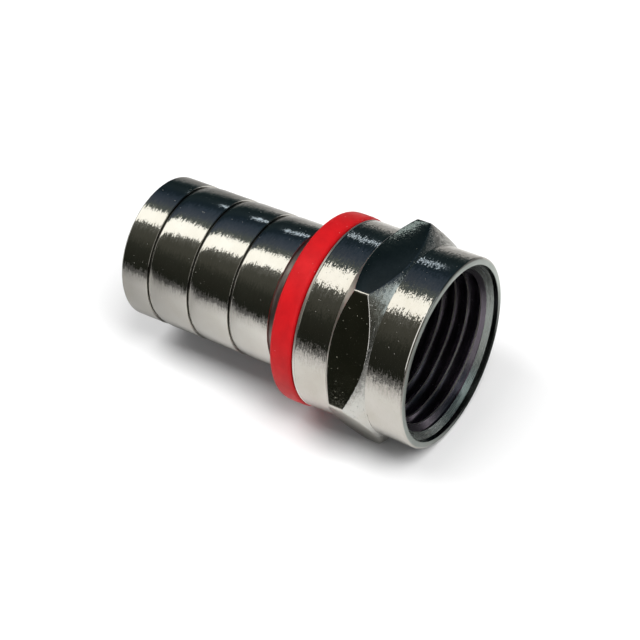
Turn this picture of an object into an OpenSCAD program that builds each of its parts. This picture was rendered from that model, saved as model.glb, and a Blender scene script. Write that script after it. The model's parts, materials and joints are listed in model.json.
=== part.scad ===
// Crimp-on male F connector for 75 ohm coaxial cable: a hexagon coupling nut that turns freely on
// a flanged post, a grooved crimp sleeve pressed on the post, and a red seal ring between the two.
// All lengths are in millimetres. The connector's axis is X. The nut's front face is at x = 0 and
// looks along +X; the cable goes in at the other end. The nut lies on one of its flats.

/* [Port thread] */
// Major diameter of the thread in the nut, 3/8-32 UNEF
thread_diameter = 9.525; // [9.2:0.025:10]
// Pitch of the thread, 32 turns to the inch
thread_pitch = 0.794; // [0.5:0.001:1]
// Radial step from the thread's major diameter out to the floor of the recess at the nut's mouth
recess_step = 0.2; // [0.05:0.05:0.3]
// How much the recess opens on the radius towards the front face
recess_flare = 0.13; // [0:0.01:0.2]
// Depth of the recess
recess_depth = 0.25; // [0.1:0.05:0.5]
// Angle between the thread's lead-in cone and the axis, in degrees
lead_in_angle = 54; // [40:1:65]
// Length of the undercut chamber in front of the post's flange, where the thread runs out
run_out_length = 0.85; // [0.3:0.05:1.2]
// Radial step from the thread's major diameter out to the chamber's wall
chamber_step = 0.04; // [0.02:0.01:0.15]

/* [Coupling nut] */
// Length of the nut from its front face to its rear face
nut_length = 6.75; // [6:0.05:9]
// Wall between the thread's major diameter and the outside of the two round skirts
skirt_wall = 0.64; // [0.55:0.01:1]
// How far the hexagon's flats stand above the skirts
flat_step = 0.15; // [0.05:0.01:0.6]
// Distance from the front face to the front end of the hexagon's sharp corners
hex_setback = 3; // [2.4:0.05:3.4]
// Length of the hexagon's sharp corners
hex_corner_length = 0.8; // [0.4:0.05:1]
// Angle between the hexagon's chamfers and the nut's axis, in degrees
hex_chamfer_angle = 51; // [45:1:60]
// Chamfer on the outer edge of each skirt
skirt_chamfer = 0.1; // [0.05:0.01:0.15]
// Thickness of the rear lip that the post's flange holds
lip_thickness = 0.9; // [0.7:0.05:1.1]

/* [Post] */
// Bore that takes the cable's dielectric
dielectric_bore = 4.95; // [4.8:0.05:5.3]
// Thickness of the flange that meets the port
flange_thickness = 0.9; // [0.6:0.05:1.1]
// Least height of the flange above the shank
flange_height = 0.75; // [0.5:0.05:0.9]
// Wall of the thin tail that goes under the cable's braid
tail_wall = 0.25; // [0.2:0.01:0.35]
// Height of each barb above the tail
barb_height = 0.14; // [0.08:0.01:0.2]
// Distance from one barb to the next
barb_pitch = 1.3; // [1:0.05:1.5]
// Number of barbs
barb_count = 4; // [2:1:4]
// How far the tail's tip lies inside the sleeve's open end
tail_inset = 0.8; // [0.2:0.1:1.5]
// Small chamfers on the post
post_chamfer = 0.12; // [0.06:0.01:0.2]

/* [Seal ring] */
// Width of the red ring along the axis
ring_width = 1.35; // [1.1:0.05:2]
// How far the ring stands above the nut's skirts
ring_proud = 0.1; // [0:0.01:0.3]
// Rounding of the ring's edges
ring_rounding = 0.2; // [0.1:0.01:0.3]
// Height of the ring's crowned outside above its shoulders
ring_crown = 0.04; // [0.02:0.01:0.08]

/* [Crimp sleeve] */
// Length of the sleeve
sleeve_length = 11; // [10:0.1:14]
// Room between the post's tail and the sleeve, for the cable's braid and jacket
jacket_space = 0.975; // [0.85:0.025:1.2]
// Wall of the sleeve at the front end of a land
sleeve_wall = 0.48; // [0.4:0.01:0.9]
// Thickness of the front wall that is pressed on the post's shank
sleeve_front_wall = 1.3; // [1:0.1:2]
// Least radial step from the sleeve's bore in to the front wall's seat on the shank
seat_step = 0.2; // [0.1:0.01:0.4]
// Distance from the sleeve's front face to the middle of the first groove
front_land = 0.85; // [0.6:0.05:1.2]
// Distance from the middle of the last groove to the sleeve's open end
rear_land = 1.88; // [1:0.02:2.4]
// Number of grooves
groove_count = 4; // [2:1:5]
// Width of a groove at its mouth
groove_width = 0.3; // [0.2:0.02:0.5]
// Depth of a groove, from the front end of a land
groove_depth = 0.15; // [0.1:0.01:0.2]
// How much each land narrows towards its rear end, on the radius
land_taper = 0.06; // [0:0.01:0.08]
// Chamfers at the sleeve's open end
sleeve_chamfer = 0.12; // [0.05:0.01:0.15]

/* [Fits] */
// Radial clearance between the nut's lip and the post's shank
spin_clearance = 0.05; // [0.02:0.01:0.1]
// Axial gap at each side of the nut's lip
end_float = 0.06; // [0.02:0.01:0.1]
// Radial clearance that lets the flange in through the thread
flange_clearance = 0.13; // [0.05:0.01:0.2]
// Radial clearance between the ring and the shank
ring_clearance = 0.02; // [0.01:0.01:0.05]

/* [Hidden] */
$fn = 96;
past_face = 0.5; // how far a cutter runs past the face it cuts

// Radii, from the thread outwards and from the cable's bore outwards
major_r = thread_diameter / 2;
minor_r = major_r - 0.5413 * thread_pitch;
recess_r = major_r + recess_step;
chamber_r = major_r + chamber_step;
skirt_r = major_r + skirt_wall;
flat_r = skirt_r + flat_step;
corner_r = flat_r / cos(30);
ring_r = skirt_r + ring_proud;
flange_r = minor_r - flange_clearance;
dielectric_r = dielectric_bore / 2;
tail_r = dielectric_r + tail_wall;
sleeve_bore_r = tail_r + jacket_space;
shank_r = min(flange_r - flange_height, sleeve_bore_r - seat_step);
land_front_r = sleeve_bore_r + sleeve_wall;
land_rear_r = land_front_r - land_taper;
groove_r = land_front_r - groove_depth;

// Places along the axis, each worked out from the piece in front of it
nut_rear_x = -nut_length;
lip_front_x = nut_rear_x + lip_thickness;
flange_rear_x = lip_front_x + end_float;
flange_front_x = flange_rear_x + flange_thickness;
thread_end_x = flange_front_x + run_out_length;
ring_front_x = nut_rear_x - end_float;
sleeve_front_x = ring_front_x - ring_width;
sleeve_rear_x = sleeve_front_x - sleeve_length;
shank_rear_x = sleeve_front_x - sleeve_front_wall;
tail_rear_x = sleeve_rear_x + tail_inset;

groove_pitch = (sleeve_length - front_land - rear_land) / (groove_count - 1);

// Turns an outline of [radius, x] points about the X axis
module turned(outline) {
    rotate([0, 90, 0]) rotate_extrude() polygon(outline);
}

// A plain hole along the axis from x0 to x1
module axial_hole(radius, x0, x1) {
    translate([x0, 0, 0]) rotate([0, 90, 0]) cylinder(r = radius, h = x1 - x0);
}

// The round body of the nut, with both skirts and their chamfered edges
module nut_skirts() {
    turned([
        [0, nut_rear_x],
        [skirt_r - skirt_chamfer, nut_rear_x],
        [skirt_r, nut_rear_x + skirt_chamfer],
        [skirt_r, -skirt_chamfer],
        [skirt_r - skirt_chamfer, 0],
        [0, 0]
    ]);
}

// The hexagon, with the chamfer cones that leave an arc on every flat. The cones run on past the
// corners and under the skirts, so that no two surfaces only touch.
module nut_hexagon() {
    overrun = 0.1;
    inner_r = skirt_r - overrun;
    outer_r = corner_r + overrun;
    overrun_x = overrun / tan(hex_chamfer_angle);
    chamfer_length = (corner_r - inner_r) / tan(hex_chamfer_angle);
    corner_front_x = -hex_setback;
    corner_rear_x = corner_front_x - hex_corner_length;
    hex_front_x = corner_front_x + chamfer_length;
    hex_rear_x = corner_rear_x - chamfer_length;
    intersection() {
        translate([hex_rear_x, 0, 0])
            rotate([0, 90, 0]) rotate([0, 0, 30])
            cylinder(r = corner_r, h = hex_front_x - hex_rear_x, $fn = 6);
        turned([
            [0, hex_rear_x],
            [inner_r, hex_rear_x],
            [outer_r, corner_rear_x + overrun_x],
            [outer_r, corner_front_x - overrun_x],
            [inner_r, hex_front_x],
            [0, hex_front_x]
        ]);
    }
}

// Everything cut from the front: recess, lead-in cone, thread bore and flange chamber
module nut_mouth() {
    thread_start_x = -recess_depth - (recess_r - minor_r) / tan(lead_in_angle);
    flare_past_face = recess_flare * (1 + past_face / recess_depth);
    turned([
        [0, past_face],
        [recess_r + flare_past_face, past_face],
        [recess_r, -recess_depth],
        [minor_r, thread_start_x],
        [minor_r, thread_end_x],
        [chamber_r, thread_end_x],
        [chamber_r, lip_front_x],
        [0, lip_front_x]
    ]);
}

module coupling_nut() {
    color([0.62, 0.63, 0.64])
    difference() {
        union() {
            nut_skirts();
            nut_hexagon();
        }
        nut_mouth();
        axial_hole(shank_r + spin_clearance, nut_rear_x - past_face, lip_front_x + past_face);
    }
}

// One barb: a ramp that rises towards the nut and drops square at its front
module barb(front_x) {
    ramp = barb_pitch * 0.7;
    turned([
        [dielectric_r, front_x],
        [tail_r + barb_height, front_x],
        [tail_r, front_x - ramp],
        [dielectric_r, front_x - ramp]
    ]);
}

module post() {
    tip_taper = tail_wall / 2;
    first_barb_x = tail_rear_x + (barb_count + 0.5) * barb_pitch;
    color([0.6, 0.6, 0.6])
    difference() {
        union() {
            turned([
                [0, flange_front_x],
                [flange_r - post_chamfer, flange_front_x],
                [flange_r, flange_front_x - post_chamfer],
                [flange_r, flange_rear_x],
                [shank_r, flange_rear_x],
                [shank_r, shank_rear_x + post_chamfer],
                [shank_r - post_chamfer, shank_rear_x],
                [tail_r, shank_rear_x],
                [tail_r, tail_rear_x + 4 * tip_taper],
                [tail_r - tip_taper, tail_rear_x],
                [0, tail_rear_x]
            ]);
            for (i = [0 : barb_count - 1]) barb(first_barb_x - i * barb_pitch);
        }
        axial_hole(dielectric_r, tail_rear_x - past_face, flange_front_x + past_face);
    }
}

// The ring's outline: a rectangle with rounded outer edges and a crowned outer side
module ring_outline() {
    bore_r = shank_r + ring_clearance;
    crown_r = (pow(ring_width / 2, 2) + pow(ring_crown, 2)) / (2 * ring_crown);
    middle_x = ring_front_x - ring_width / 2;
    rounding_x = ring_width / 2 - ring_rounding;
    intersection() {
        union() {
            translate([bore_r, ring_front_x - ring_width])
                square([ring_r - bore_r - ring_rounding, ring_width]);
            translate([bore_r, middle_x - rounding_x])
                square([ring_r - bore_r, 2 * rounding_x]);
            for (side = [-1, 1])
                translate([ring_r - ring_rounding, middle_x + side * rounding_x])
                circle(r = ring_rounding);
        }
        translate([ring_r - crown_r, middle_x]) circle(r = crown_r);
    }
}

module seal_ring() {
    color([0.85, 0.06, 0.08])
    rotate([0, 90, 0]) rotate_extrude() ring_outline();
}

// The middle of groove i, counted from the front
function groove_x(i) = sleeve_front_x - front_land - i * groove_pitch;

// The sleeve's outside: each groove has a steep rear wall and a sloped lip at its front
function sleeve_outline() = [
    [0, sleeve_front_x],
    [land_rear_r, sleeve_front_x],
    for (i = [0 : groove_count - 1]) each [
        [land_rear_r, groove_x(i) + 0.75 * groove_width],
        [groove_r + groove_depth / 3, groove_x(i) + groove_width / 4],
        [groove_r, groove_x(i) - groove_width / 4],
        [land_front_r, groove_x(i) - groove_width / 2]
    ],
    [land_rear_r, sleeve_rear_x + sleeve_chamfer],
    [land_rear_r - sleeve_chamfer, sleeve_rear_x],
    [0, sleeve_rear_x]
];

module crimp_sleeve() {
    flared_r = sleeve_bore_r + sleeve_chamfer;
    color([0.62, 0.63, 0.64])
    difference() {
        turned(sleeve_outline());
        axial_hole(shank_r, shank_rear_x - past_face, sleeve_front_x + past_face);
        turned([
            [0, shank_rear_x],
            [sleeve_bore_r, shank_rear_x],
            [sleeve_bore_r, sleeve_rear_x + sleeve_chamfer],
            [flared_r, sleeve_rear_x],
            [flared_r, sleeve_rear_x - past_face],
            [0, sleeve_rear_x - past_face]
        ]);
    }
}

coupling_nut();
post();
seal_ring();
crimp_sleeve();
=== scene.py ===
import json
import math

import bmesh
import bpy
from mathutils import Matrix, Vector


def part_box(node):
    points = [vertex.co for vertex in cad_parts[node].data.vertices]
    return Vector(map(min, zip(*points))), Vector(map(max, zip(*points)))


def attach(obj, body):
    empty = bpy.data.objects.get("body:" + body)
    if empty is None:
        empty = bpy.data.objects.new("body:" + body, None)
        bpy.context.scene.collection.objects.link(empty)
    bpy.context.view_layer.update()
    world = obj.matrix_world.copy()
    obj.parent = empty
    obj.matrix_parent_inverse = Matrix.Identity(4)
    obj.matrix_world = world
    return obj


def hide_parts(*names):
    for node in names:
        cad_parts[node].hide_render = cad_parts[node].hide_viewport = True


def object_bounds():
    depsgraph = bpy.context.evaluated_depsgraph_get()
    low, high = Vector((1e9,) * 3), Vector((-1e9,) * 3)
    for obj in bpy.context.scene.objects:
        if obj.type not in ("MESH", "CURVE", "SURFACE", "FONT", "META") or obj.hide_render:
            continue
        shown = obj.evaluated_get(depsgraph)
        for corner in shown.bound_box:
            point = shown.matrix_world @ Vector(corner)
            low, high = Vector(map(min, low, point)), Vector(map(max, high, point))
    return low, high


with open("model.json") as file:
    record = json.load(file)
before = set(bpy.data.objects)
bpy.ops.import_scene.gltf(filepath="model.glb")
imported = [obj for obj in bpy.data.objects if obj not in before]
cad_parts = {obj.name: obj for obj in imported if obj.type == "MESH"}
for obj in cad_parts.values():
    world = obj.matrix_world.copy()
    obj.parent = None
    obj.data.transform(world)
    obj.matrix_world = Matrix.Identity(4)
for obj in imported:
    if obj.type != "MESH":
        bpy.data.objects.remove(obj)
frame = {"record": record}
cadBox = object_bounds()
print("frame loaded")

# Pieces are modelled in millimetres, and finishPiece brings each one down to the frame's metres.
# The connector's axis is X: an outline is a list of (x, radius) points that is turned about it.
millimetre = 0.001
mounts = {mount["name"]: mount for mount in frame["record"]["mounts"]}


def nodeBox(node):
    low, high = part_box(node)
    return low / millimetre, high / millimetre


nutLow, nutHigh = nodeBox("coupling_nut")
postLow, postHigh = nodeBox("post")
ringLow, ringHigh = nodeBox("seal_ring")
sleeveLow, sleeveHigh = nodeBox("crimp_sleeve")


# Small tools for modelling

def makeActive(piece):
    if bpy.context.object and bpy.context.object.mode != "OBJECT":
        bpy.ops.object.mode_set(mode="OBJECT")
    bpy.ops.object.select_all(action="DESELECT")
    piece.select_set(True)
    bpy.context.view_layer.objects.active = piece


def edgePlace(edge):
    # x and radius of an edge's middle
    a, b = (vertex.co for vertex in edge.verts)
    return (a.x + b.x) / 2, (math.hypot(a.y, a.z) + math.hypot(b.y, b.z)) / 2


def selectEdges(piece, wanted):
    # leaves the piece in edit mode with only the wanted edges selected
    makeActive(piece)
    bpy.ops.object.mode_set(mode="EDIT")
    bpy.context.tool_settings.mesh_select_mode = (False, True, False)
    bpy.ops.mesh.select_all(action="DESELECT")
    mesh = bmesh.from_edit_mesh(piece.data)
    for edge in mesh.edges:
        if wanted(edge):
            edge.select_set(True)
    bmesh.update_edit_mesh(piece.data)


def turnPiece(name, outline, closed=True, steps=192):
    # Turns an outline: one ring at its first point, then each next ring extruded and scaled
    x, radius = outline[0]
    bpy.ops.object.select_all(action="DESELECT")
    bpy.ops.mesh.primitive_circle_add(vertices=steps, radius=radius, location=(x, 0, 0),
                                      rotation=(0, math.radians(90), 0))
    piece = bpy.context.object
    piece.name = piece.data.name = name
    bpy.ops.object.transform_apply(location=True, rotation=True)
    bpy.ops.object.mode_set(mode="EDIT")
    bpy.ops.mesh.select_all(action="SELECT")
    for nextX, nextRadius in outline[1:] + (outline[:1] if closed else []):
        bpy.ops.mesh.extrude_edges_move(TRANSFORM_OT_translate={"value": (nextX - x, 0, 0)})
        growth = nextRadius / radius
        bpy.ops.transform.resize(value=(1, growth, growth), center_override=(nextX, 0, 0))
        x, radius = nextX, nextRadius
    bpy.ops.mesh.select_all(action="SELECT")
    bpy.ops.mesh.remove_doubles(threshold=0.0005)
    if not closed:
        bpy.ops.mesh.select_all(action="DESELECT")
        bpy.ops.mesh.select_non_manifold()
        bpy.ops.mesh.fill_holes(sides=0)
        bpy.ops.mesh.select_all(action="SELECT")
    bpy.ops.mesh.normals_make_consistent(inside=False)
    bpy.ops.object.mode_set(mode="OBJECT")
    return piece


def roundRings(piece, rings, width, segments=3):
    # Bevels the edge rings that lie at the given (x, radius) places
    def onRing(edge):
        x, radius = edgePlace(edge)
        flat = abs(edge.verts[0].co.x - edge.verts[1].co.x) < 0.002
        return flat and any(abs(x - rx) < 0.004 and abs(radius - rr) < 0.01 for rx, rr in rings)

    selectEdges(piece, onRing)
    bpy.ops.mesh.bevel(offset=width, segments=segments, profile=0.5)
    bpy.ops.object.mode_set(mode="OBJECT")


def combine(piece, tool, operation):
    cut = piece.modifiers.new("combine", "BOOLEAN")
    cut.operation, cut.solver, cut.object = operation, "EXACT", tool
    makeActive(piece)
    bpy.ops.object.modifier_apply(modifier=cut.name)
    bpy.data.objects.remove(tool)


def finishPiece(piece, body, node, materials, angle=26):
    makeActive(piece)
    bpy.ops.object.mode_set(mode="EDIT")
    bpy.ops.mesh.select_all(action="SELECT")
    bpy.ops.mesh.remove_doubles(threshold=0.0002)
    bpy.ops.mesh.normals_make_consistent(inside=False)
    bpy.ops.object.mode_set(mode="OBJECT")
    piece.scale = (millimetre,) * 3
    bpy.ops.object.transform_apply(scale=True)
    bpy.ops.object.shade_smooth_by_angle(angle=math.radians(angle))
    for material in materials:
        piece.data.materials.append(material)
    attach(piece, body)
    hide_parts(node)
    print(f"{piece.name}: {len(piece.data.polygons)} faces")


# Finishes

class Finish:
    # A material with its shader, and short ways to add and join nodes
    def __init__(self, name):
        self.material = bpy.data.materials.new(name)
        self.material.use_nodes = True
        self.tree = self.material.node_tree
        self.shader = self.tree.nodes["Principled BSDF"]
        self.place = self.add("ShaderNodeTexCoord").outputs["Object"]

    def feed(self, socket, value):
        # links another node's output to the socket, or gives it a plain value
        if isinstance(value, bpy.types.NodeSocket):
            self.tree.links.new(value, socket)
        else:
            socket.default_value = value

    def give(self, socket, value):
        self.feed(self.shader.inputs[socket], value)

    def add(self, kind, inputs=None, **settings):
        node = self.tree.nodes.new(kind)
        for key, value in settings.items():
            setattr(node, key, value)
        for key, value in (inputs or {}).items():
            self.feed(node.inputs[key], value)
        return node

    def math(self, operation, *values):
        return self.add("ShaderNodeMath", dict(enumerate(values)), operation=operation).outputs[0]

    def vector(self, operation, *values):
        return self.add("ShaderNodeVectorMath", dict(enumerate(values)), operation=operation).outputs[0]

    def stretch(self, x, across):
        # coordinates for a pattern with x marks a millimetre along the axis, and others across it
        return self.add("ShaderNodeMapping", {
            "Vector": self.place,
            "Scale": (x / millimetre, across / millimetre, across / millimetre)}).outputs[0]

    def noise(self, vector, detail=2.0, roughness=0.5, scale=1.0):
        return self.add("ShaderNodeTexNoise", {
            "Vector": vector, "Scale": scale, "Detail": detail, "Roughness": roughness}).outputs["Fac"]

    def ramp(self, value, low, high, bottom=0.0, top=1.0):
        return self.add("ShaderNodeMapRange", {
            "Value": value, "From Min": low, "From Max": high,
            "To Min": bottom, "To Max": top}).outputs["Result"]

    def blend(self, factor, first, second):
        mix = self.add("ShaderNodeMix", {"Factor": factor}, data_type="RGBA")
        colours = [socket for socket in mix.inputs if socket.type == "RGBA"]
        self.feed(colours[0], first)
        self.feed(colours[1], second)
        return next(socket for socket in mix.outputs if socket.type == "RGBA")


def nickelFinish(name, look):
    # Bright nickel over turned brass: the tool marks run round the axis
    finish = Finish(name)
    finish.give("Metallic", 1.0)
    marks = finish.noise(finish.stretch(look["marksPerMm"], look["marksAcross"]), 3, 0.6)
    jitter = finish.noise(finish.stretch(look["jitterPerMm"], look["jitterAcross"]), 2, 0.7)
    grain = finish.noise(finish.stretch(look["grainPerMm"], look["grainPerMm"]), 1, 0.5)
    stain = finish.noise(finish.stretch(0.5, 0.5), 3, 0.6)
    speck = finish.noise(finish.stretch(9, 9), 1, 0.5)
    speck = finish.ramp(speck, look["speckFrom"], look["speckFrom"] + 0.04)

    # Each tool mark leans a little round the axis, which gives reflections their ragged edges
    normal = finish.add("ShaderNodeNewGeometry").outputs["Normal"]
    around = finish.vector("CROSS_PRODUCT", (1.0, 0.0, 0.0), normal)
    lean = finish.math("ADD", finish.ramp(jitter, 0.3, 0.7, -look["lean"], look["lean"]),
                       finish.ramp(grain, 0.3, 0.7, -look["grain"], look["grain"]))
    lean = finish.add("ShaderNodeVectorMath", {0: around, "Scale": lean}, operation="SCALE").outputs[0]
    leaning = finish.vector("NORMALIZE", finish.vector("ADD", normal, lean))
    bump = finish.add("ShaderNodeBump", {
        "Strength": look["bump"], "Distance": 0.002 * millimetre, "Height": marks, "Normal": leaning})
    pits = finish.add("ShaderNodeBump", {
        "Strength": 0.8, "Distance": 0.01 * millimetre, "Height": speck,
        "Normal": bump.outputs["Normal"]})
    finish.give("Normal", pits.outputs["Normal"])
    colour = finish.blend(finish.ramp(stain, 0.35, 0.7), look["colour"], look["stain"])
    finish.give("Base Color", colour)
    smear = finish.ramp(marks, 0.25, 0.75, look["smooth"], look["rough"])
    finish.give("Roughness", finish.math("MAXIMUM", smear, finish.math("MULTIPLY", speck, 0.55)))
    return finish.material


turnedLook = {
    "colour": (0.56, 0.55, 0.525, 1), "stain": (0.52, 0.505, 0.47, 1),
    "marksPerMm": 16, "marksAcross": 0.4, "jitterPerMm": 14, "jitterAcross": 2.2, "lean": 0.04,
    "grainPerMm": 11, "grain": 0.02, "bump": 0.35, "smooth": 0.06, "rough": 0.14, "speckFrom": 0.78,
}
# painted shade: the front face's darker, greenish nickel stands in for the shade at the nut's mouth
mouthShadeLook = dict(turnedLook, colour=(0.42, 0.46, 0.44, 1), stain=(0.34, 0.38, 0.36, 1),
                smooth=0.08, rough=0.16)
# painted shade: the near-black colour stands in for the shade inside the sleeve's grooves
grooveShadeLook = dict(turnedLook, colour=(0.07, 0.07, 0.06, 1), stain=(0.03, 0.03, 0.027, 1),
                  smooth=0.3, rough=0.5)
nickelLooks = {
    "turned": turnedLook,
    "skirt": dict(turnedLook, colour=(0.53, 0.515, 0.49, 1), stain=(0.47, 0.45, 0.41, 1),
                  lean=0.05, grain=0.035, speckFrom=0.765),
    "cone": dict(turnedLook, colour=(0.53, 0.54, 0.53, 1), marksPerMm=9, jitterPerMm=9, bump=1.0,
                 lean=0.1, grain=0.06, smooth=0.16, rough=0.3, speckFrom=0.68),
    # satin finish for the rear edges, rear cone and thread crests; its lighter colour is a painted
    # highlight for the light lines they show
    "edge": dict(turnedLook, colour=(0.74, 0.72, 0.69, 1), smooth=0.38, rough=0.52),
    # painted shade: the hex flats' darker, olive-tinted nickel stands in for the shade on the flats
    "flat": dict(turnedLook, colour=(0.38, 0.37, 0.3, 1), stain=(0.24, 0.245, 0.2, 1),
                 marksPerMm=5, marksAcross=5, jitterAcross=5, lean=0.01, bump=0.12,
                 smooth=0.07, rough=0.13, speckFrom=0.755),
    "face": mouthShadeLook,
    "lead": dict(turnedLook, colour=(0.6, 0.65, 0.63, 1), stain=(0.46, 0.51, 0.49, 1), bump=0.8,
                 lean=0.06, smooth=0.2, rough=0.32),
    # painted shade: the recess wall's near-black colour draws the dark line inside the mouth
    "wall": dict(mouthShadeLook, colour=(0.12, 0.135, 0.13, 1), stain=(0.08, 0.095, 0.09, 1)),
    # painted shade: a darker, purple-tinted nickel for the thread deep in the bore
    "thread": dict(turnedLook, colour=(0.3, 0.27, 0.32, 1), stain=(0.2, 0.17, 0.22, 1), bump=0.5,
                   lean=0.03, smooth=0.12, rough=0.26),
    "groove": grooveShadeLook,
    # painted shade in the front step by the ring, dark and a little warm
    "step": dict(grooveShadeLook, colour=(0.3, 0.26, 0.25, 1), stain=(0.16, 0.14, 0.13, 1)),
}
nickel = {name: nickelFinish(name + "Nickel", look) for name, look in nickelLooks.items()}

redLook = {"colour": (0.5, 0.0055, 0.0085, 1), "shade": (0.42, 0.004, 0.007, 1),
           "dust": (0.7, 0.4, 0.4, 1)}


def sealFinish(name, look):
    finish = Finish(name)
    mottle = finish.noise(finish.stretch(1.2, 1.2), 4, 0.6)
    grain = finish.noise(finish.stretch(14, 14), 2, 0.6)
    dust = finish.noise(finish.stretch(9, 9), 1, 0.5)
    colour = finish.blend(finish.ramp(mottle, 0.35, 0.65), look["colour"], look["shade"])
    finish.give("Base Color", finish.blend(finish.ramp(dust, 0.78, 0.81), colour, look["dust"]))
    finish.give("Roughness", finish.ramp(mottle, 0.3, 0.7, 0.42, 0.52))
    finish.give("Specular IOR Level", 0.15)
    bump = finish.add("ShaderNodeBump", {
        "Strength": 0.3, "Distance": 0.02 * millimetre, "Height": grain})
    finish.give("Normal", bump.outputs["Normal"])
    return finish.material


redSeal = sealFinish("redSeal", redLook)
print("finishes made")


# Coupling nut: a turned blank with a collar, cut to a hexagon, then bored and threaded
nutSizes = {
    "skirtRadius": 5.4025, "edgeRadius": 0.15, "rearChamferLength": 0.05, "rearChamferDepth": 0.06,
    "rearStrip": 0.14, "scoreDepth": 0.025,
    "hexSetback": 3.0, "hexCornerLength": 0.8, "hexChamferAngle": 51, "collarOver": 0.1,
    "cornerRounding": 0.1, "arcRounding": 0.035,
    "recessRadius": 4.9625, "recessFlare": 0.04, "recessDepth": 0.25,
    "leadInAngle": 54, "leadInRadius": 4.6,
    "threadPitch": 0.794, "threadLength": 4.04, "threadTurns": 8, "threadShift": 0.23,
    "chamberRadius": 4.8025, "lipBoreRadius": 3.503, "lipThickness": 0.9,
    "toolPast": 0.5, "tapPast": 0.4, "coreAllowance": 0.3,
}

# Places along the nut that more than one of its cuts share
chamferSlope = math.tan(math.radians(nutSizes["hexChamferAngle"]))
leadInSlope = math.tan(math.radians(nutSizes["leadInAngle"]))
coneLength = (nutHigh.y - nutSizes["skirtRadius"]) / chamferSlope
coneFront = nutHigh.x - nutSizes["hexSetback"] + coneLength
coneRear = nutHigh.x - nutSizes["hexSetback"] - nutSizes["hexCornerLength"] - coneLength
scorePlace = nutLow.x + nutSizes["rearStrip"]
recessFloor = nutHigh.x - nutSizes["recessDepth"]
threadFront = recessFloor - (nutSizes["recessRadius"] - nutSizes["leadInRadius"]) / leadInSlope
threadRear = nutHigh.x - nutSizes["threadLength"]
coreRadius = mounts["port_thread"]["dims"]["r_mm"]


def turnBlank(sizes):
    # both skirts, and between them a collar that stands a little over the hexagon's corners
    skirt, score, over = sizes["skirtRadius"], sizes["scoreDepth"], sizes["collarOver"]
    top, run = nutHigh.y + over, coneLength + over / chamferSlope
    blank = turnPiece("couplingNut", [
        (nutLow.x, skirt - sizes["rearChamferDepth"]), (nutLow.x + sizes["rearChamferLength"], skirt),
        (scorePlace, skirt), (scorePlace + score, skirt - score), (scorePlace + 2 * score, skirt),
        (coneRear, skirt), (coneRear + run, top), (coneFront - run, top), (coneFront, skirt),
        (nutHigh.x, skirt)], closed=False)
    roundRings(blank, [(nutHigh.x, skirt)], sizes["edgeRadius"], 5)
    return blank


def hexagonPrism(sizes):
    # longer than the nut, with two corners along Y and flats up and down; its long edges are rounded
    bpy.ops.object.select_all(action="DESELECT")
    bpy.ops.mesh.primitive_cylinder_add(vertices=6, radius=nutHigh.y, depth=20,
                                        location=(0, 0, 0), rotation=(0, math.radians(90), 0))
    prism = bpy.context.object
    bpy.ops.object.transform_apply(rotation=True)
    selectEdges(prism, lambda edge: abs(edge.verts[0].co.x - edge.verts[1].co.x) > 1)
    bpy.ops.mesh.bevel(offset=sizes["cornerRounding"], segments=5, profile=0.5)
    bpy.ops.object.mode_set(mode="OBJECT")
    return prism


def softenArcs(piece, sizes):
    # the arcs where the chamfer cones meet the flats lose their sharpness
    def onArc(edge):
        slants = sorted(abs(face.normal.x) for face in edge.link_faces)
        raised = edgePlace(edge)[1] > sizes["skirtRadius"] + 0.05
        return raised and len(slants) == 2 and slants[0] < 0.1 and slants[1] > 0.4

    selectEdges(piece, onArc)
    bpy.ops.mesh.bevel(offset=sizes["arcRounding"], segments=2, profile=0.5)
    bpy.ops.object.mode_set(mode="OBJECT")


def boreTool(sizes):
    # recess, lead-in, core inside the thread, run-out chamber, and the lip that holds the post
    recess, past = sizes["recessRadius"], sizes["toolPast"]
    mouth = recess + sizes["recessFlare"] * (1 + past / sizes["recessDepth"])
    neck = coreRadius - sizes["coreAllowance"]     # the tap takes out the rest
    lipFront = nutLow.x + sizes["lipThickness"]
    return turnPiece("bore", [
        (nutHigh.x + past, mouth), (recessFloor, recess), (threadFront, sizes["leadInRadius"]),
        (recessFloor - (recess - neck) / leadInSlope, neck), (threadRear, neck),
        (threadRear, sizes["chamberRadius"]), (lipFront, sizes["chamberRadius"]),
        (lipFront, sizes["lipBoreRadius"]), (nutLow.x - past, sizes["lipBoreRadius"])],
        closed=False)


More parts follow.
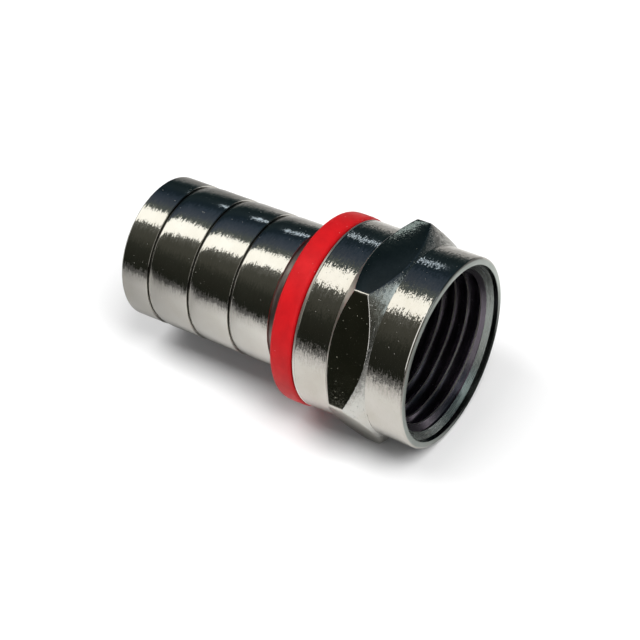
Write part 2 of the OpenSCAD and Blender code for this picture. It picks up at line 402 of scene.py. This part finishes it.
def threadTap(sizes):
    # one tooth's outline screwed along the axis, with both ends cut square
    pitch, turns = sizes["threadPitch"], sizes["threadTurns"]
    flat, flank, tooth = pitch / 8, pitch * 3 / 8, 0.5413 * pitch
    start = nutHigh.x - (turns - 1) * pitch + sizes["threadShift"]
    bpy.ops.object.select_all(action="DESELECT")
    bpy.ops.mesh.primitive_plane_add(size=0.1, location=(start, 0, coreRadius))
    tap = bpy.context.object
    bpy.ops.object.transform_apply(location=True)
    bpy.ops.object.mode_set(mode="EDIT")
    bpy.context.tool_settings.mesh_select_mode = (True, False, False)
    bpy.ops.mesh.select_all(action="SELECT")
    bpy.ops.mesh.merge(type="CENTER")
    for run, rise in ((flat, 0), (flank, tooth), (flat, 0), (flank, -tooth)):
        bpy.ops.mesh.extrude_vertices_move(TRANSFORM_OT_translate={"value": (run, 0, rise)})
    bpy.ops.object.mode_set(mode="OBJECT")
    screw = tap.modifiers.new("screw", "SCREW")
    screw.axis, screw.screw_offset, screw.iterations = "X", pitch, turns
    screw.steps = screw.render_steps = 128
    screw.use_merge_vertices, screw.merge_threshold = True, 0.0005
    bpy.ops.object.modifier_apply(modifier=screw.name)
    bpy.ops.object.mode_set(mode="EDIT")
    bpy.ops.mesh.select_all(action="SELECT")
    bpy.ops.mesh.remove_doubles(threshold=0.0005)
    for place, beyond in ((threadFront, "clear_outer"), (threadRear - sizes["tapPast"], "clear_inner")):
        bpy.ops.mesh.select_all(action="SELECT")
        bpy.ops.mesh.bisect(plane_co=(place, 0, 0), plane_no=(1, 0, 0), use_fill=True, **{beyond: True})
    bpy.ops.mesh.select_all(action="SELECT")
    bpy.ops.mesh.normals_make_consistent(inside=False)
    bpy.ops.object.mode_set(mode="OBJECT")
    return tap


def nutFaceFinish(face, sizes):
    # the finish that the tool left on this face
    x = face.center.x / millimetre
    radius = math.hypot(face.center.y, face.center.z) / millimetre
    outward = Vector((0, face.center.y, face.center.z)).normalized().dot(face.normal)
    skirt = sizes["skirtRadius"]
    flatAngles = [math.radians(30 + 60 * i) for i in range(6)]
    squareOn = max(face.normal.dot(Vector((0, math.cos(a), math.sin(a)))) for a in flatAngles)
    # the hex flats take their darkened finish: painted shade
    if squareOn > 0.999 and radius > skirt + 0.02:
        return "flat"
    if outward < -0.2 and radius < sizes["recessRadius"] + sizes["recessFlare"] + 0.01:
        # the recess wall's near-black finish is painted shade
        if x > recessFloor - 0.01:
            return "wall"
        if x > threadFront - 0.01:
            return "lead"
        # thread crests take the edge finish, whose lighter colour paints their thin light lines
        onCrest = radius < coreRadius + 0.01 and abs(face.normal.x) < 0.3
        # the thread's darkened finish paints the shade in the bore
        return "edge" if onCrest and x > threadRear else "thread"
    # the front face's darkened finish is painted shade
    if face.normal.x > 0.98 and x > nutHigh.x - 0.02:
        return "face"
    inHexagon = coneRear - 0.05 < x < coneFront + 0.05
    if inHexagon and radius > skirt + 0.005 and abs(face.normal.x) > 0.4:
        return "cone" if face.normal.x > 0 else "edge"
    return "edge" if x < scorePlace and radius > skirt - 0.1 else "skirt"


def makeNut(sizes):
    finishes = ["skirt", "cone", "edge", "flat", "face", "wall", "lead", "thread"]
    nut = turnBlank(sizes)
    combine(nut, hexagonPrism(sizes), "INTERSECT")
    softenArcs(nut, sizes)
    bore, tap = boreTool(sizes), threadTap(sizes)
    combine(nut, bore, "DIFFERENCE")
    combine(nut, tap, "DIFFERENCE")
    finishPiece(nut, "nut", "coupling_nut", [nickel[name] for name in finishes])
    for face in nut.data.polygons:
        face.material_index = finishes.index(nutFaceFinish(face, sizes))


makeNut(nutSizes)

# Seal ring
ringSizes = {"boreRadius": 3.473, "crown": 0.04, "crownInset": 0.32, "crownDrop": 0.006,
             "edgeRounding": 0.17}


def makeRing(sizes):
    rear, front, outer = ringLow.x, ringHigh.x, ringHigh.z
    shoulder, almost = outer - sizes["crown"], outer - sizes["crownDrop"]
    inset = sizes["crownInset"]
    ring = turnPiece("sealRing", [
        (rear, sizes["boreRadius"]), (front, sizes["boreRadius"]), (front, shoulder),
        (front - inset, almost), ((rear + front) / 2, outer), (rear + inset, almost),
        (rear, shoulder)])
    roundRings(ring, [(front, shoulder), (rear, shoulder)], sizes["edgeRounding"], 5)
    finishPiece(ring, "cable_side", "seal_ring", [redSeal], angle=50)


makeRing(ringSizes)

# Crimp sleeve
sleeveSizes = {
    "boreRadius": 3.7, "seatRadius": 3.4527, "frontWall": 1.3, "chamfer": 0.12,
    "grooves": 4, "grooveDepth": 0.15, "grooveWidth": 0.1, "stepWidth": 0.3, "wallLean": 0.02,
    "lip": 0.65, "frontLip": 0.2, "lipDrop": 0.09, "lipRounding": 0.02,
    "frontLand": 0.85, "rearLand": 1.88,
}


def makeSleeve(sizes):
    rear, front, land = sleeveLow.x, sleeveHigh.x, sleeveHigh.z
    floor, chamfer = land - sizes["grooveDepth"], sizes["chamfer"]
    drop, lean = sizes["lipDrop"], sizes["wallLean"]
    pitch = (front - rear - sizes["frontLand"] - sizes["rearLand"]) / (sizes["grooves"] - 1)
    middles = [front - sizes["frontLand"] - i * pitch for i in range(sizes["grooves"])]
    outline = [(front, land)]
    edges = []
    for middle in middles:                         # each land rolls down to the groove behind it
        first = middle == middles[0]
        half = sizes["stepWidth" if first else "grooveWidth"] / 2
        lip = sizes["frontLip" if first else "lip"]
        outline += [(middle + half + along * lip, land - down * drop)
                    for along, down in ((1, 0), (0.5, 0.25), (0.2, 0.6), (0, 1))]
        outline += [(middle + half - lean, floor), (middle - half + lean, floor), (middle - half, land)]
        edges += [outline[-4], outline[-1]]
    outline += [(rear + chamfer, land), (rear, land - chamfer),
                (rear, sizes["boreRadius"] + chamfer), (rear + chamfer, sizes["boreRadius"]),
                (front - sizes["frontWall"], sizes["boreRadius"]),
                (front - sizes["frontWall"], sizes["seatRadius"]), (front, sizes["seatRadius"])]
    sleeve = turnPiece("crimpSleeve", outline)
    roundRings(sleeve, edges, sizes["lipRounding"], 3)
    finishPiece(sleeve, "cable_side", "crimp_sleeve",
                [nickel["turned"], nickel["groove"], nickel["step"]])
    for face in sleeve.data.polygons:
        x = face.center.x / millimetre
        radius = math.hypot(face.center.y, face.center.z) / millimetre
        # the groove walls and floors take the painted-shade finishes, the step by the ring its own
        if floor - 0.01 < radius < land - drop - 0.015:
            if any(abs(x - middle) < 0.3 for middle in middles):
                face.material_index = 2 if x > middles[0] - 0.3 else 1


makeSleeve(sleeveSizes)

# Post
postSizes = {"flangeRadius": 4.203, "flangeThickness": 0.9, "shankRadius": 3.4527,
             "shankRear": -9.46, "chamfer": 0.12, "mouthChamfer": 0.05, "tailRadius": 2.725,
             "barbs": 4, "barbHeight": 0.14, "barbPitch": 1.3, "barbLength": 0.91}


def makePost(sizes):
    rear, front = postLow.x, postHigh.x
    bore = mounts["cable_bore"]["dims"]["r_mm"]
    tail, chamfer, mouth = sizes["tailRadius"], sizes["chamfer"], sizes["mouthChamfer"]
    wall = tail - bore
    flangeRear = front - sizes["flangeThickness"]
    outline = [
        (front, bore + mouth), (front, sizes["flangeRadius"] - chamfer),
        (front - chamfer, sizes["flangeRadius"]), (flangeRear, sizes["flangeRadius"]),
        (flangeRear, sizes["shankRadius"]), (sizes["shankRear"] + chamfer, sizes["shankRadius"]),
        (sizes["shankRear"], sizes["shankRadius"] - chamfer), (sizes["shankRear"], tail)]
    firstBarb = rear + (sizes["barbs"] + 0.5) * sizes["barbPitch"]
    for i in range(sizes["barbs"]):
        x = firstBarb - i * sizes["barbPitch"]
        outline += [(x, tail), (x, tail + sizes["barbHeight"]), (x - sizes["barbLength"], tail)]
    outline += [(rear + 2 * wall, tail), (rear, tail - wall / 2), (rear, bore), (front - mouth, bore)]
    post = turnPiece("flangedPost", outline)
    finishPiece(post, "cable_side", "post", [nickel["turned"]])


makePost(postSizes)
print("pieces made")

# Studio: a pale floor in even light, under panels. The metal mirrors them, a sheet of paper and a
# dim room. The two sight values are the camera's line of sight, along the axis and across it
studio = {
    "floorColour": (0.86, 0.86, 0.86, 1), "ambient": 0.4,
    "paperColour": (0.8, 0.79, 0.765, 1), "paperRadius": 0.4, "roomRadius": 1.5,
    "paperLift": 0.00001, "sightAlong": 0.4403, "sightAcross": 0.898,
}
# Painted shade on the paper: how its colour falls off, in metres: from and to each place, and what is
# left. The rear, mouth and shade fades paint the connector's shadows, near and far paint the light
# fading with distance
paperPaintedShade = {"rear": (-0.006, -0.018, 0.5), "mouth": (0.003, 0.012, 0.34),
              "near": (-0.015, -0.055, 0.14), "far": (0.008, 0.04, 0.5),
              "shade": (0.0085, 0.003, 0.05)}
paintedShadowCentre = (0.001, 0.0045, 0.0)
# Brightness of the room round the connector's axis, in degrees from +Y up over the top to -Y
roomTones = [
    (-60, (0.25, 0.26, 0.26)), (-3, (0.25, 0.26, 0.26)), (3, (0.14, 0.15, 0.15)),
    (8, (0.04, 0.055, 0.058)), (15, (0.014, 0.025, 0.028)), (30, (0.022, 0.036, 0.042)),
    (44, (0.014, 0.027, 0.038)), (54, (0.044, 0.064, 0.09)), (70, (0.082, 0.1, 0.128)),
    (80, (0.13, 0.15, 0.135)), (114, (0.15, 0.15, 0.13)), (122, (0.09, 0.09, 0.073)),
    (134, (0.08, 0.08, 0.064)), (148, (0.036, 0.038, 0.029)), (164, (0.028, 0.029, 0.022)),
    (176, (0.022, 0.024, 0.018)),
]


def plainFinish(name, colour):
    finish = Finish(name)
    finish.give("Base Color", colour)
    finish.give("Roughness", 0.9)
    finish.give("Specular IOR Level", 0.1)
    return finish


def addStage(name, finish, unseenBy):
    piece = bpy.context.object
    piece.name = piece.data.name = name
    piece.data.materials.append(finish.material)
    for ray in unseenBy:
        setattr(piece, "visible_" + ray, False)


floorZ = cadBox[0].z
bpy.ops.object.select_all(action="DESELECT")
bpy.ops.mesh.primitive_plane_add(size=6, location=(0, 0, floorZ))
addStage("floor", plainFinish("paleFloor", studio["floorColour"]), ["glossy"])

paperFinish = plainFinish("paperSheet", studio["paperColour"])
x, y = paperFinish.add("ShaderNodeSeparateXYZ", {0: paperFinish.place}).outputs[:2]
side = paperFinish.math("MULTIPLY_ADD", paperFinish.math("ABSOLUTE", y), 0.5, x)
# distance from the middle of the painted shadow that the nut throws on the sheet
shade = paperFinish.add("ShaderNodeVectorMath", {0: paperFinish.place, 1: paintedShadowCentre},
                        operation="DISTANCE").outputs["Value"]
fades = [(side, "rear"), (x, "mouth"), (y, "near"), (y, "far"), (shade, "shade")]
# the sheet is for the metal to mirror, and throws no light of its own on the floor
bounced = paperFinish.add("ShaderNodeLightPath").outputs["Diffuse Depth"]
paperLightAndShade = paperFinish.ramp(bounced, 0, 1, 1.0, 0.0)
# each fade darkens the sheet's colour: painted shadow and painted light falloff
for value, fade in fades:
    start, end, left = paperPaintedShade[fade]
    paperLightAndShade = paperFinish.math("MULTIPLY", paperLightAndShade, paperFinish.ramp(value, start, end, 1.0, left))
paperFinish.give("Base Color", paperFinish.blend(paperLightAndShade, (0, 0, 0, 1), studio["paperColour"]))
bpy.ops.mesh.primitive_circle_add(vertices=96, radius=studio["paperRadius"], fill_type="NGON",
                                  location=(0, 0, floorZ + studio["paperLift"]))
addStage("mirroredPaper", paperFinish, ["camera", "diffuse", "shadow"])

roomFinish = Finish("roomWalls")
y, z = roomFinish.add("ShaderNodeSeparateXYZ", {0: roomFinish.place}).outputs[1:]
turn = roomFinish.math("ARCTAN2", z, y)
tones = roomFinish.add("ShaderNodeValToRGB", {
    "Fac": roomFinish.ramp(turn, math.radians(-180), math.radians(180))})
stops = tones.color_ramp.elements
stops[0].position, stops[1].position = 0.0, 1.0
stops[0].color = stops[1].color = (*roomTones[-1][1], 1)
for angle, tone in roomTones:
    stops.new(0.5 + angle / 360).color = (*tone, 1)
roomFinish.give("Base Color", (0, 0, 0, 1))
roomFinish.give("Specular IOR Level", 0.0)
roomFinish.give("Emission Color", tones.outputs["Color"])
roomFinish.give("Emission Strength", 1.0)
bpy.ops.mesh.primitive_uv_sphere_add(segments=48, ring_count=24, radius=studio["roomRadius"])
addStage("dimRoom", roomFinish, ["camera", "diffuse", "shadow"])

world = bpy.data.worlds.new("studioAir")
world.use_nodes = True
air = world.node_tree.nodes["Background"]
air.inputs["Color"].default_value = (1, 1, 1, 1)
seen = world.node_tree.nodes.new("ShaderNodeLightPath").outputs["Is Camera Ray"]
level = world.node_tree.nodes.new("ShaderNodeMapRange")         # a white backdrop, and softer light
level.inputs["To Min"].default_value, level.inputs["To Max"].default_value = studio["ambient"], 1.0
world.node_tree.links.new(seen, level.inputs["Value"])
world.node_tree.links.new(level.outputs["Result"], air.inputs["Strength"])
bpy.context.scene.world = world


def onCone(angle, distance):
    # a place that the round parts mirror to the camera, at that angle from +Y up towards -Y
    a = math.radians(angle)
    across = studio["sightAcross"]
    return Vector((-studio["sightAlong"], across * math.cos(a), across * math.sin(a))) * distance


# Panels of light, each at its place in metres and aimed at the connector's middle. The key and the
# fill light the floor and the red ring, and the others are only there for the metal to mirror
panels = {
    "overheadSoftbox": {"place": onCone(97, 0.5), "size": (0.9, 0.19), "radiance": 1.7,
                        "colour": (1, 0.98, 0.91)},
    "backStrip": {"place": Vector((-0.0012, 0, 0)) + onCone(38, 0.06), "size": (0.018, 0.003),
                  "radiance": 1.5, "colour": (0.75, 0.88, 1)},
    "frontPanel": {"place": (0.273, 0.06, 0.1), "size": (0.1, 0.09), "radiance": 0.9,
                   "colour": (0.9, 1, 0.98)},
    "rimPanel": {"place": (0.2, -0.3, 0.345), "size": (0.3, 0.7), "radiance": 1.4},
    "key": {"place": (0.28, -0.11, 0.5), "size": (0.36, 0.25), "radiance": 10.0,
            "seenBy": "diffuse"},
    "fill": {"place": (-0.2, -0.11, 0.5), "size": (0.36, 0.25), "radiance": 5.4,
             "seenBy": "diffuse"},
}


def addPanel(name, place, size, radiance, colour=(1, 1, 1), seenBy="glossy"):
    bpy.ops.object.light_add(type="AREA", location=place)
    light = bpy.context.object
    light.name = name
    away = (Vector(place) - Vector((-0.004, 0, 0))).normalized()
    across = away.cross((1, 0, 0)).normalized()    # panels lie with their first side along the axis
    light.rotation_euler = Matrix((across.cross(away), across, away)).transposed().to_euler()
    light.data.color, light.data.shape = colour, "RECTANGLE"
    light.data.size, light.data.size_y = size
    light.data.energy = radiance * math.pi * size[0] * size[1]
    light.visible_camera = False
    light.visible_diffuse, light.visible_glossy = seenBy == "diffuse", seenBy == "glossy"


for name, panel in panels.items():
    addPanel(name, **panel)

# Camera
view = {"placeMm": (33.92, -56.79, 64.17), "turnDegrees": (47.1457, 4.3751, 32.7587), "lens": 97.1}
bpy.ops.object.camera_add(location=Vector(view["placeMm"]) * millimetre,
                          rotation=[math.radians(a) for a in view["turnDegrees"]])
camera = bpy.context.object
camera.data.lens = view["lens"]
camera.data.sensor_width = 36
camera.data.clip_start, camera.data.clip_end = 0.001, 20
bpy.context.scene.camera = camera
bpy.context.scene.view_settings.view_transform = "Standard"
print("studio ready")
